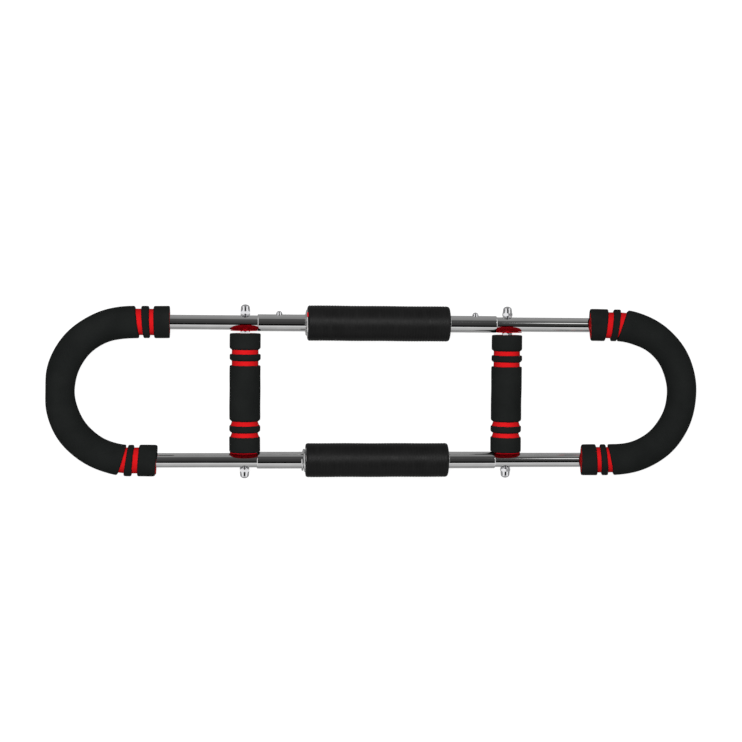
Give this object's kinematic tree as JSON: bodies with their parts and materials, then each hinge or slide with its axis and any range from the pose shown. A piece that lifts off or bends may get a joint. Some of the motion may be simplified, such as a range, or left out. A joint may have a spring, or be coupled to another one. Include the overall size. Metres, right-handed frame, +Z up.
{
  "type": "double-spring arm exerciser bar",
  "caption": "Springy arm and chest exercise bar: parallel coil springs under black sleeves join U-shaped chrome handles with foam grips and cross hand grips.",
  "frame": {"origin": "on the floor under the middle of the object, which lies flat", "axes": "+X along the rods, +Y from the front rod to the back rod that carries the snap buttons, +Z up"},
  "size_m": [0.9186, 0.2424, 0.048],
  "materials": {
    "chrome_tube": "polished",
    "zinc_hardware": "satin",
    "spring_steel": "satin",
    "black_foam": "matte",
    "red_foam": "matte",
    "black_sleeve": "satin",
    "nylon_bush": "satin"
  },
  "bodies": {
    "centre": {"back_sleeve_5": "black_sleeve", "back_spring": "spring_steel", "front_sleeve_5": "black_sleeve", "front_spring": "spring_steel"},
    "left_link_1": {"back_sleeve_4": "black_sleeve", "front_sleeve_4": "black_sleeve"},
    "left_link_2": {"back_sleeve_3": "black_sleeve", "front_sleeve_3": "black_sleeve"},
    "left_link_3": {"back_sleeve_2": "black_sleeve", "front_sleeve_2": "black_sleeve"},
    "right_link_1": {"back_sleeve_6": "black_sleeve", "front_sleeve_6": "black_sleeve"},
    "right_link_2": {"back_sleeve_7": "black_sleeve", "front_sleeve_7": "black_sleeve"},
    "right_link_3": {"back_sleeve_8": "black_sleeve", "front_sleeve_8": "black_sleeve"},
    "left_frame": {"back_sleeve_1": "black_sleeve", "front_sleeve_1": "black_sleeve", "left_acorn_nut_back": "zinc_hardware", "left_acorn_nut_front": "zinc_hardware", "left_back_socket": "chrome_tube", "left_button_spring": "spring_steel", "left_front_socket": "chrome_tube", "left_grip_stud": "zinc_hardware", "left_jam_nut_back": "zinc_hardware", "left_jam_nut_front": "zinc_hardware", "left_spacer_disc_back": "red_foam", "left_spacer_disc_front": "red_foam", "left_u_grip": "black_foam", "left_u_tube": "chrome_tube", "left_washer_back": "zinc_hardware", "left_washer_front": "zinc_hardware"},
    "right_frame": {"back_sleeve_9": "black_sleeve", "front_sleeve_9": "black_sleeve", "right_acorn_nut_back": "zinc_hardware", "right_acorn_nut_front": "zinc_hardware", "right_back_socket": "chrome_tube", "right_button_spring": "spring_steel", "right_front_socket": "chrome_tube", "right_grip_stud": "zinc_hardware", "right_jam_nut_back": "zinc_hardware", "right_jam_nut_front": "zinc_hardware", "right_spacer_disc_back": "red_foam", "right_spacer_disc_front": "red_foam", "right_u_grip": "black_foam", "right_u_tube": "chrome_tube", "right_washer_back": "zinc_hardware", "right_washer_front": "zinc_hardware"},
    "left_hand_grip": {"left_grip_bush_back": "nylon_bush", "left_grip_bush_front": "nylon_bush", "left_grip_core_tube": "chrome_tube", "left_hand_grip": "black_foam"},
    "right_hand_grip": {"right_grip_bush_back": "nylon_bush", "right_grip_bush_front": "nylon_bush", "right_grip_core_tube": "chrome_tube", "right_hand_grip": "black_foam"},
    "left_button": {"left_snap_button": "zinc_hardware"},
    "right_button": {"right_snap_button": "zinc_hardware"}
  },
  "joints": [
    {"name": "right_bend_1", "type": "hinge", "parent": "centre", "child": "right_link_1", "pos_m": [0.009, 0, 0.048], "axis": [0, -1, 0], "range_deg": [0, 15], "stiffness_Nm_per_rad": 256, "deforming": ["back_spring", "front_spring"]},
    {"name": "right_bend_2", "type": "hinge", "parent": "right_link_1", "child": "right_link_2", "pos_m": [0.027, 0, 0.048], "axis": [0, -1, 0], "range_deg": [0, 15], "stiffness_Nm_per_rad": 256},
    {"name": "right_bend_3", "type": "hinge", "parent": "right_link_2", "child": "right_link_3", "pos_m": [0.045, 0, 0.048], "axis": [0, -1, 0], "range_deg": [0, 15], "stiffness_Nm_per_rad": 256},
    {"name": "right_bend_4", "type": "hinge", "parent": "right_link_3", "child": "right_frame", "pos_m": [0.063, 0, 0.048], "axis": [0, -1, 0], "range_deg": [0, 15], "stiffness_Nm_per_rad": 256},
    {"name": "left_bend_1", "type": "hinge", "parent": "centre", "child": "left_link_1", "pos_m": [-0.009, 0, 0.048], "axis": [0, 1, 0], "range_deg": [0, 15], "stiffness_Nm_per_rad": 256},
    {"name": "left_bend_2", "type": "hinge", "parent": "left_link_1", "child": "left_link_2", "pos_m": [-0.027, 0, 0.048], "axis": [0, 1, 0], "range_deg": [0, 15], "stiffness_Nm_per_rad": 256},
    {"name": "left_bend_3", "type": "hinge", "parent": "left_link_2", "child": "left_link_3", "pos_m": [-0.045, 0, 0.048], "axis": [0, 1, 0], "range_deg": [0, 15], "stiffness_Nm_per_rad": 256},
    {"name": "left_bend_4", "type": "hinge", "parent": "left_link_3", "child": "left_frame", "pos_m": [-0.063, 0, 0.048], "axis": [0, 1, 0], "range_deg": [0, 15], "stiffness_Nm_per_rad": 256},
    {"name": "right_hand_grip_turn", "type": "hinge", "parent": "right_frame", "child": "right_hand_grip", "pos_m": [0.1836, 0, 0.024], "axis": [0, 1, 0], "continuous": true},
    {"name": "right_button_press", "type": "slide", "parent": "right_frame", "child": "right_button", "axis": [0, -1, 0], "range_m": [0, 0.0065], "stiffness_N_per_m": 1500, "deforming": ["right_button_spring"]},
    {"name": "left_hand_grip_turn", "type": "hinge", "parent": "left_frame", "child": "left_hand_grip", "pos_m": [-0.185, 0, 0.024], "axis": [0, 1, 0], "continuous": true},
    {"name": "left_button_press", "type": "slide", "parent": "left_frame", "child": "left_button", "axis": [0, -1, 0], "range_m": [0, 0.0065], "stiffness_N_per_m": 1500, "deforming": ["left_button_spring"]}
  ],
  "couplings": [
    {"joint": "right_bend_2", "follows": "right_bend_1", "ratio": 1},
    {"joint": "right_bend_3", "follows": "right_bend_1", "ratio": 1},
    {"joint": "right_bend_4", "follows": "right_bend_1", "ratio": 1},
    {"joint": "left_bend_1", "follows": "right_bend_1", "ratio": 1},
    {"joint": "left_bend_2", "follows": "right_bend_1", "ratio": 1},
    {"joint": "left_bend_3", "follows": "right_bend_1", "ratio": 1},
    {"joint": "left_bend_4", "follows": "right_bend_1", "ratio": 1}
  ]
}
